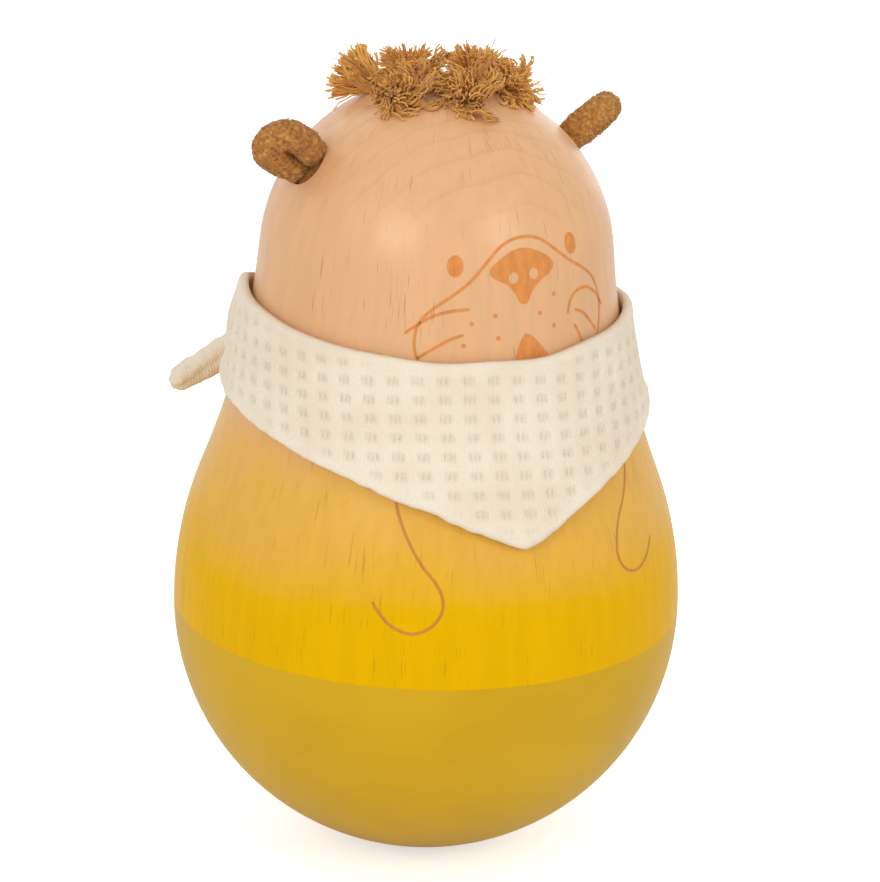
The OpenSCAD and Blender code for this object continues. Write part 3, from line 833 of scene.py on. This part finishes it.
def make_tuft(node, seed):
    """The frayed end of one cord: locks of wavy strands, and a few thin strays."""
    rng = np.random.default_rng(seed)
    out, aside, lowest, curl, reach, pale = TUFT_HABITS[node]
    axes = tuft_axes(node, out, aside)
    parts, tones = [], []
    for locks, strands, thick, length, spread, sides in (
        (LOCKS, LOCK_STRANDS, STRAND_R, reach, LOCK_SPREAD, LOCK_SIDES),
        (STRAY_STRANDS, 1, STRAY_R, reach * STRAY_REACH_SHARE, STRAY_SPREAD, STRAY_SIDES),
    ):
        plan = lock_plan(rng, locks, strands, lowest, curl)
        paths = strand_paths(axes, plan, rng, length, spread)
        n = len(paths)
        radii = rng.uniform(*thick, (n, 1)) * np.linspace(1.0, STRAND_TIP, STRAND_POINTS)
        parts.append(tubes(paths, radii, sides))
        own = plan["tone"] + pale + rng.normal(0, STRAND_TONE_JITTER, (n, 1))
        # painted shade: each strand darker towards its root, inside the tuft
        tone = own - ROOT_SHADE * (1 - np.linspace(0, 1, STRAND_POINTS)) ** 2
        tones.append(np.repeat(tone.ravel(), sides))
    piece = new_piece(node.replace("hair_tuft", "hair"), *join_parts(parts), CORD, "toy")
    paint(piece, "tone", np.concatenate(tones))
    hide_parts(node)
    make_root(node, piece.name + "_root")


EAR_VOXEL = 0.22 * MM
EAR_FIBRES = 3600
EAR_SWELL = 0.15 * MM
EAR_MOUTH_SWELL = 0.42 * MM
EAR_MOUTH = (0.5 * MM, 1.0 * MM, 4.5 * MM)  # heights over the wood: full swell from, to, and none past
EAR_ROUNDS = 8
EAR_LUMPS = ((0.05, 0.9 * MM), (0.06, 0.4 * MM))  # height in millimetres and size
EAR_MOTTLE = (0.13, 0.4 * MM)  # share and size
# painted light and shade: how much paler the ear is on its lumps and darker in its dips
EAR_LUMP_SHADING = 1.3
EAR_WAVES = 24
# Fibres: ranges of length, lift and thickness in millimetres, and of tone against the cord's
FIBRE_LONG, FIBRE_LIFT, FIBRE_THICK = (0.4, 1.0), (0.04, 0.2), (0.05, 0.09)
FIBRE_TONE = (-0.14, 0.3)
FIBRE_SUNK = 0.05 * MM
FIBRE_TIP = 0.35
FIBRE_POINTS = 4
FIBRE_SIDES = 3


def scatter(piece, rng, count):
    """Random places on a piece, with their normals."""
    mesh = piece.data
    mesh.calc_loop_triangles()
    points, normals = points_and_normals(piece)
    tri = np.array([t.vertices for t in mesh.loop_triangles])
    a, b, c = (points[tri[:, k]] for k in range(3))
    area = np.linalg.norm(np.cross(b - a, c - a), axis=1)
    pick = rng.choice(len(tri), count, p=area / area.sum())
    u, v = rng.uniform(size=(2, count, 1))
    u, v = np.where(u + v > 1, 1 - u, u), np.where(u + v > 1, 1 - v, v)
    place = a[pick] + u * (b - a)[pick] + v * (c - a)[pick]
    return place, unit(normals[tri[pick]].mean(1))


def fibres(places, normals, ways, long, lift, thick):
    """Short hairs that start in the surface and end a little above it."""
    t = np.linspace(0, 1, FIBRE_POINTS)[None, :, None]
    bow = t * (1.6 - 0.6 * t)
    paths = (
        places[:, None] - normals[:, None] * FIBRE_SUNK
        + ways[:, None] * long[:, None, None] * t + normals[:, None] * lift[:, None, None] * bow
    )
    radii = thick[:, None] * np.linspace(1, FIBRE_TIP, FIBRE_POINTS)
    return tubes(paths, radii, FIBRE_SIDES)


def make_ear(node, seed, pale):
    """A folded cord of felted cotton, with short fibres on it and its end in the hole."""
    rng = np.random.default_rng(seed)
    ear = soft_copy(node, node.replace("ear_cord", "ear"), CORD, "toy", EAR_VOXEL, EAR_ROUNDS)
    points, normals = points_and_normals(ear)
    fluff = sum(tall * waves(points, size, EAR_WAVES, seed + k) for k, (tall, size) in enumerate(EAR_LUMPS))
    height = np.linalg.norm(points - HEAD_C, axis=1) - HEAD_RADIUS
    mouth = smoothstep(0, EAR_MOUTH[0], height) * smoothstep(EAR_MOUTH[2], EAR_MOUTH[1], height)
    swell = EAR_SWELL + EAR_MOUTH_SWELL * mouth + fluff * MM
    set_points(ear, points + normals * swell[:, None])
    mottle = EAR_MOTTLE[0] * waves(points, EAR_MOTTLE[1], EAR_WAVES, seed + len(EAR_LUMPS))
    # painted light on the lumps and painted shade in the dips, over a random mottle
    paint(ear, "tone", pale + mottle + EAR_LUMP_SHADING * fluff)
    places, normals = scatter(ear, rng, EAR_FIBRES)
    ways = rng.normal(size=places.shape)
    ways = unit(ways - normals * (ways * normals).sum(1, keepdims=True))
    sizes = [rng.uniform(*span, EAR_FIBRES) * MM for span in (FIBRE_LONG, FIBRE_LIFT, FIBRE_THICK)]
    shape = fibres(places, normals, ways, *sizes)
    fluffy = new_piece(ear.name + "_fluff", *shape, CORD, "toy")
    tones = rng.uniform(pale + FIBRE_TONE[0], pale + FIBRE_TONE[1], EAR_FIBRES)
    paint(fluffy, "tone", np.repeat(tones, FIBRE_POINTS * FIBRE_SIDES))
    make_root(node, ear.name + "_root")


# Bandana

CLOTH_COLUMNS = 760
CLOTH_ROWS = 76
INNER_ROWS = 14
CLOTH_MM = 38  # millimetres of cotton per radian round the neck
COLUMN_GAP = math.radians(1)  # CAD columns lie further apart than this
# The waffle: columns of pits round the neck at a radius, and rows that sag away from one angle in degrees
PIT_COLUMNS = 55
PIT_RADIUS = 37 * MM
PIT_TURN = math.radians(2.4)
ROW_GAP = 3.0 * MM
FIRST_ROW_Z = 97.25 * MM
ROW_SAG = 2.2 * MM
SAG_FROM = -20.0
SAG_SPREAD = 40.0
PIT_DEPTH = 0.42 * MM
PIT_HALF = (0.95 * MM, 0.62 * MM)
PIT_SLOPE = 0.4 * MM
PIT_FLOOR = (0.55 * MM, 0.5 * MM)  # half size of the raised middle of each of the pits
PIT_FLOOR_DROP = 0.25 * MM
PIT_FLOOR_RISE = 0.45
RIDGE = 0.06 * MM
# Distances from the edges: where the pits begin, and where the fold and the hem are thick
FOLD_BARE = (0.6 * MM, 2.6 * MM)
FOLD_SWELL, FOLD_AT, FOLD_WIDE = 0.12 * MM, 1.3 * MM, 1.3 * MM
HEM_BARE = 2.2 * MM
HEM_SHARES = (0.6, 1.3)
HEM_SWELL, HEM_AT, HEM_WIDE = 0.3 * MM, 0.9 * MM, 0.7 * MM
# How the edges stray: height, size in millimetres and seed of their waves, and how far up or down these go
HEM_WAVES, HEM_REACH = ((0.07 * MM, 1.1, 5), (0.2 * MM, 4.5, 6)), 5 * MM
FOLD_WAVES, FOLD_REACH = ((0.22 * MM, 7.0, 7),), 4 * MM
EDGE_ROUNDING = (0.36, 0.1)


def cloth_columns():
    """The CAD cloth as columns: angle from the front, heights, inner and outer radius (n, rows)."""
    points = points_of(CLOTH_NODE)
    angle = np.arctan2(points[:, 0], -points[:, 1])
    order = np.argsort(angle)
    starts = np.flatnonzero(np.diff(angle[order]) > COLUMN_GAP) + 1
    groups = np.split(order, starts)
    columns = []
    for group in groups:
        p = points[group]
        r = np.hypot(p[:, 0], p[:, 1])
        rank = np.lexsort((r, p[:, 2].round(6)))
        columns.append((angle[group].mean(), p[rank, 2][::2], r[rank][::2], r[rank][1::2]))
    return [np.array(c) for c in zip(*columns)]


def round_curve(angles, values, at):
    """Values on a ring, read smoothly at other angles."""
    turn = 2 * math.pi
    gap = turn / len(angles)
    place = ((at - angles[0]) % turn) / gap
    i = np.floor(place).astype(int)
    t = (place - i)[:, None]
    return between(*(values[(i + k) % len(angles)] for k in (-1, 0, 1, 2)), t)


def pit_share(angle, z, radius):
    """How deep a place lies in one of the waffle's pits, from 0 to 1.

    The columns keep their distance all the way down the cotton.
    """
    pitch = 2 * math.pi / PIT_COLUMNS
    along = angle * radius / PIT_RADIUS
    off_a = (((along - PIT_TURN) / pitch + 0.5) % 1 - 0.5) * pitch * PIT_RADIUS
    swing = (np.degrees(angle) - SAG_FROM) / SAG_SPREAD
    fall = ROW_SAG * (1 - np.exp(-swing**2))
    row = (FIRST_ROW_Z - fall - z) / ROW_GAP
    off_z = ((row + 0.5) % 1 - 0.5) * ROW_GAP
    side = smoothstep(PIT_SLOPE, -PIT_SLOPE, np.abs(off_a) - PIT_HALF[0])
    level = smoothstep(PIT_SLOPE, -PIT_SLOPE, np.abs(off_z) - PIT_HALF[1])
    floor = np.exp(-((off_a / PIT_FLOOR[0]) ** 2) - ((off_z + PIT_FLOOR_DROP) / PIT_FLOOR[1]) ** 2)
    return side * level * (1 - PIT_FLOOR_RISE * floor)


def cloth_shape():
    """Angles of fine columns, heights and radii round each column's ring, and the heights of its outside."""
    angles, z, inner, outer = cloth_columns()
    at = np.linspace(-math.pi, math.pi, CLOTH_COLUMNS, endpoint=False)
    z, inner, outer = (round_curve(angles, v, at) for v in (z, inner, outer))
    v_cad = np.linspace(0, 1, z.shape[1])
    up = np.linspace(0, 1, CLOTH_ROWS)
    down = np.linspace(1, 0, INNER_ROWS)

    def along(values, v):
        return np.array([np.interp(v, v_cad, row) for row in values])

    def ring(values_up, values_down):
        return np.concatenate([along(values_up, up), along(values_down, down)], 1)

    height = ring(z, z)
    radius = ring(outer, inner)
    return at, height, radius, z


def cloth_relief(angle, radius, from_top, from_low, pits):
    """How far the cotton stands off: its fold and hem, the pits, and the ridges between them."""
    fold = FOLD_SWELL * np.exp(-((from_top - FOLD_AT) / FOLD_WIDE) ** 2)
    hem = HEM_SWELL * np.exp(-((from_low - HEM_AT) / HEM_WIDE) ** 2)
    ridge = -RIDGE * np.cos((angle * radius / PIT_RADIUS - PIT_TURN) * PIT_COLUMNS)
    return fold + hem - pits * PIT_DEPTH + ridge * (1 - pits)


def stray(at, parts):
    """How far an edge of the cotton strays up and down at each column."""
    edge = np.stack([at * CLOTH_MM, np.zeros_like(at), np.zeros_like(at)], 1)
    return sum(tall * waves(edge, size, 10, seed) for tall, size, seed in parts)[:, None]


def make_cloth():
    """The cotton round the neck, with its fold, its waffle and its hem."""
    at, height, radius, z = cloth_shape()
    angle = np.repeat(at[:, None], height.shape[1], 1)
    outside = np.arange(height.shape[1]) < CLOTH_ROWS
    from_top, from_low = z[:, -1:] - height, height - z[:, :1]
    pits = pit_share(angle, height, radius) * outside
    pits = pits * smoothstep(*FOLD_BARE, from_top)
    pits = pits * smoothstep(HEM_BARE * HEM_SHARES[0], HEM_BARE * HEM_SHARES[1], from_low)
    radius = radius + outside * cloth_relief(angle, radius, from_top, from_low, pits)
    height = height + stray(at, HEM_WAVES) * smoothstep(HEM_REACH, 0, from_low)
    height = height + stray(at, FOLD_WAVES) * smoothstep(FOLD_REACH, 0, from_top)
    points = rounded_edges(np.stack([radius * np.sin(angle), -radius * np.cos(angle), height], -1))
    n, m, _ = points.shape
    quads = ring_faces(n + 1, m) % (n * m)
    cloth = new_piece("bandana", points.reshape(-1, 3), quads[:, ::-1], COTTON, "bandana")
    # painted shade in the pits, as strong as they are deep
    paint(cloth, "painted_shade", pits.ravel())
    flat_uv(cloth)
    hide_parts(CLOTH_NODE)
    return cloth


def rounded_edges(points):
    """The cotton's two edges get rounded ends: the corner points move in towards the middle."""
    top_out, top_in = CLOTH_ROWS - 1, CLOTH_ROWS
    last = points.shape[1] - 1
    for out_side, in_side, step in ((top_out, top_in, -1), (0, last, 1)):
        for k, share in enumerate(EDGE_ROUNDING):
            a, b = out_side + step * k, in_side - step * k
            middle = (points[:, a] + points[:, b]) / 2
            points[:, a] += (middle - points[:, a]) * share
            points[:, b] += (middle - points[:, b]) * share
    return points


def flat_uv(piece):
    """Lengths along and up the cotton in millimetres, as UV, for its yarns."""
    mesh = piece.data
    points, _ = points_and_normals(piece)
    along = np.arctan2(points[:, 0], -points[:, 1]) * CLOTH_MM
    uv = np.stack([along, points[:, 2] / MM], 1)
    layer = mesh.uv_layers.new(name="flat")
    corner = np.empty(len(mesh.loops), int)
    mesh.loops.foreach_get("vertex_index", corner)
    layer.data.foreach_set("uv", uv[corner].ravel())


COTTON_VOXEL = 0.35 * MM
# The rolled ends: how often folds wind round, millimetres per turn, depth in millimetres and share of width
ROLL_ROUNDS = 10
ROLL_FIT = 4  # degree of the curve through the middle
ROLL_FOLDS, ROLL_PITCH = 3, 26
ROLL_DEPTH, ROLL_WIDTH = 0.42, 0.13
ROLL_LUMPS = (0.07, 3.2)  # height and spacing in millimetres
ROLL_ROUGH = ((0.05, 1.0 * MM, 8), (0.14, 2.6 * MM, 9))  # height in millimetres, size and seed
# how dark the painted shade in the folds gets
ROLL_SHADE = 1.2
# The knot: creases along its turns, in the same units
KNOT_ROUNDS = 6
KNOT_CREASE = (0.25, 2.3, 0.5)  # height, radians per millimetre across, and up
KNOT_FOLDS = (0.2, 2.2 * MM, 11)
KNOT_ROUGH = (0.12, 0.9 * MM, 12)
KNOT_OUTER = (-4.5, -2.0)
# how dark the painted shade in the creases gets
KNOT_SHADE = 1.5


def make_rolled_end(node):
    """A rolled end of the bandana: long folds that wind round it, and the waffle's lumps."""
    name = node.replace("bandana_", "bandana_end_")
    piece = soft_copy(node, name, COTTON, "bandana", COTTON_VOXEL, ROLL_ROUNDS)
    cad = points_of(node)
    run = cad[:, 0]
    middle_y, middle_z = (np.polyfit(run, cad[:, k], ROLL_FIT) for k in (1, 2))
    points, normals = points_and_normals(piece)
    y = points[:, 1] - np.polyval(middle_y, points[:, 0])
    z = points[:, 2] - np.polyval(middle_z, points[:, 0])
    turn = np.arctan2(z, y)
    side = np.sign(run.mean())
    length = np.abs(points[:, 0]) / MM
    winding = (turn / (2 * math.pi) * ROLL_FOLDS + side * length / ROLL_PITCH) % 1
    folds = -ROLL_DEPTH * np.exp(-((winding - 0.5) / ROLL_WIDTH) ** 2)
    lumps = ROLL_LUMPS[0] * np.cos(length * 2 * math.pi / ROLL_LUMPS[1]) * np.cos(turn * ROLL_FOLDS)
    rough = sum(tall * waves(points, size, 20, seed) for tall, size, seed in ROLL_ROUGH)
    set_points(piece, points + normals * ((folds + lumps + rough) * MM)[:, None])
    # painted shade: the rolled end darker down in its folds and dips
    paint(piece, "painted_shade", np.clip(-folds * ROLL_SHADE - lumps, 0, 1))
    flat_uv(piece)
    return piece


def make_knot():
    """The knot: a wrap of cotton over two crossed ends, wrinkled along its turns."""
    piece = soft_copy("bandana_knot", "bandana_tied_knot", COTTON, "bandana", COTTON_VOXEL, KNOT_ROUNDS)
    points, normals = points_and_normals(piece)
    middle = (points.min(0) + points.max(0)) / 2
    off = (points - middle) / MM
    tall, across, up = KNOT_CREASE
    creases = tall * np.sin(off[:, 0] * across + up * off[:, 2])
    tall, size, seed = KNOT_FOLDS
    creases = creases + tall * waves(points, size, 16, seed)
    tall, size, seed = KNOT_ROUGH
    rough = tall * waves(points, size, 16, seed)
    outer = smoothstep(*KNOT_OUTER, off[:, 1])
    set_points(piece, points + normals * ((creases + rough) * outer * MM)[:, None])
    # painted shade: the knot darker down in its creases
    paint(piece, "painted_shade", np.clip(-creases * KNOT_SHADE, 0, 1))
    flat_uv(piece)
    return piece


def make_bandana():
    """The cotton, its knot and its two ends, as separate pieces that ride on the bandana."""
    cloth = make_cloth()
    others = [make_knot(), make_rolled_end("bandana_tail_left"), make_rolled_end("bandana_tail_right")]


# Stage, lights and camera

VIEW_TURN = -28.0
VIEW_RISE = 17.83
VIEW_ROLL = 1.78
VIEW_FAR = 0.5
VIEW_TARGET = Vector((0, 0, 69.5 * MM))
LENS = 115.6
SENSOR = 36
SHIFT = (10 / PX, 19.9 / PX)
CLIP_NEAR = 0.01
# Each lamp's turn and rise in degrees, its distance and size in metres, and its power in watts
LAMPS = {
    "key": (-55, 26, 0.9, 0.34, 1.6),
    "fill": (17, 28, 1.1, 0.36, 1.75),
    "back": (170, 40, 1.0, 0.8, 0.8),
    "rim": (136, 14, 1.0, 0.7, 1.0),
}
WORLD_FILL = 0.75
FLOOR_GLOW = 0.56
FLOOR_TONES = (grey(0.86), grey(0.9))
FLOOR_HALF = 3.0


def towards(turn, rise):
    """Unit vector from the toy to a place round it: 0, 0 is straight in front."""
    a, e = math.radians(turn), math.radians(rise)
    return Vector((math.sin(a) * math.cos(e), -math.cos(a) * math.cos(e), math.sin(e)))


def make_camera():
    """The camera that took the photograph."""
    data = bpy.data.cameras.new("camera")
    data.lens = LENS
    data.sensor_width = SENSOR
    data.shift_x, data.shift_y = SHIFT
    data.clip_start = CLIP_NEAR
    camera = add_object("camera", data)
    back = towards(VIEW_TURN, VIEW_RISE)
    look = (-back).to_track_quat("-Z", "Y").to_matrix().to_4x4()
    roll = Matrix.Rotation(math.radians(VIEW_ROLL), 4, "Z")
    camera.matrix_world = Matrix.Translation(VIEW_TARGET + back * VIEW_FAR) @ look @ roll
    bpy.context.scene.camera = camera


def make_lamp(name, turn, rise, far, size, power):
    """A round soft lamp that looks at the toy."""
    data = bpy.data.lights.new(name, "AREA")
    data.shape = "DISK"
    data.size = size
    data.energy = power
    lamp = add_object(name, data)
    way = towards(turn, rise)
    look = (-way).to_track_quat("-Z", "Y").to_matrix().to_4x4()
    lamp.matrix_world = Matrix.Translation(VIEW_TARGET + way * far) @ look


def seen_share(tree):
    """1 for rays from the camera and for what mirrors or glass show, else 0."""
    path = tree.nodes.new("ShaderNodeLightPath")
    total = path.outputs["Is Camera Ray"]
    for name in ("Is Glossy Ray", "Is Transmission Ray"):
        most = tree.nodes.new("ShaderNodeMath")
        most.operation = "MAXIMUM"
        tree.links.new(total, most.inputs[0])
        tree.links.new(path.outputs[name], most.inputs[1])
        total = most.outputs[0]
    return total


def make_world():
    """White to the camera and in reflections, and a weaker light on everything else."""
    world = bpy.data.worlds.new("studio")
    bpy.context.scene.world = world
    world.use_nodes = True
    tree = world.node_tree
    light = tree.nodes["Background"]
    light.inputs["Color"].default_value = grey(1.0)
    strength = tree.nodes.new("ShaderNodeMapRange")
    tree.links.new(seen_share(tree), strength.inputs[0])
    strength.inputs[3].default_value = WORLD_FILL
    strength.inputs[4].default_value = 1.0
    tree.links.new(strength.outputs[0], light.inputs["Strength"])


def make_floor():
    """A plain pale floor that keeps a soft shadow."""
    shader = Shader("pale_floor")
    cloud = shader.noise(shader.place((0.01, 0.01, 0.01)), 2.0)
    colour = shader.mix(cloud, *FLOOR_TONES)
    matt = shader.add("BsdfDiffuse", {"Color": colour}).outputs[0]
    glow = shader.add("Emission", {"Color": grey(1.0), "Strength": FLOOR_GLOW}).outputs[0]
    both = shader.add("AddShader", {0: matt, 1: glow}).outputs[0]
    path = shader.add("LightPath")
    shown = shader.add("MixShader", {0: path.outputs["Is Camera Ray"], 1: matt, 2: both}).outputs[0]
    shader.add("OutputMaterial", {"Surface": shown})
    mesh = bpy.data.meshes.new("floor")
    corners = [(x * FLOOR_HALF, y * FLOOR_HALF, 0) for x, y in ((-1, -1), (1, -1), (1, 1), (-1, 1))]
    mesh.from_pydata(corners, [], [(0, 1, 2, 3)])
    mesh.materials.append(shader.material)
    floor = add_object("floor", mesh)


def make_stage():
    make_world()
    make_floor()
    for name, habits in LAMPS.items():
        make_lamp(name, *habits)
    bpy.context.scene.view_settings.view_transform = "Standard"


TUFT_SEED = 31
EARS = {"ear_cord_left": (51, 0.48), "ear_cord_right": (52, 0.42)}  # seed, and how pale it is

make_camera()
make_stage()
finish_cad_node("upper_body", BEECH)
finish_cad_node("base_bowl", lacquer())
finish_cad_node("ballast_weight", metal("ballast_steel", srgb(120, 120, 124), srgb(150, 150, 154), 0.38))
zinc = metal("zinc_steel", srgb(180, 182, 186), srgb(205, 207, 210), 0.3)
finish_cad_node("ballast_washer", zinc)
finish_cad_node("ballast_screw", zinc)
make_print()
for number, tuft in enumerate(TUFTS):
    make_tuft(tuft, TUFT_SEED + number)
for ear, habits in EARS.items():
    make_ear(ear, *habits)
make_bandana()
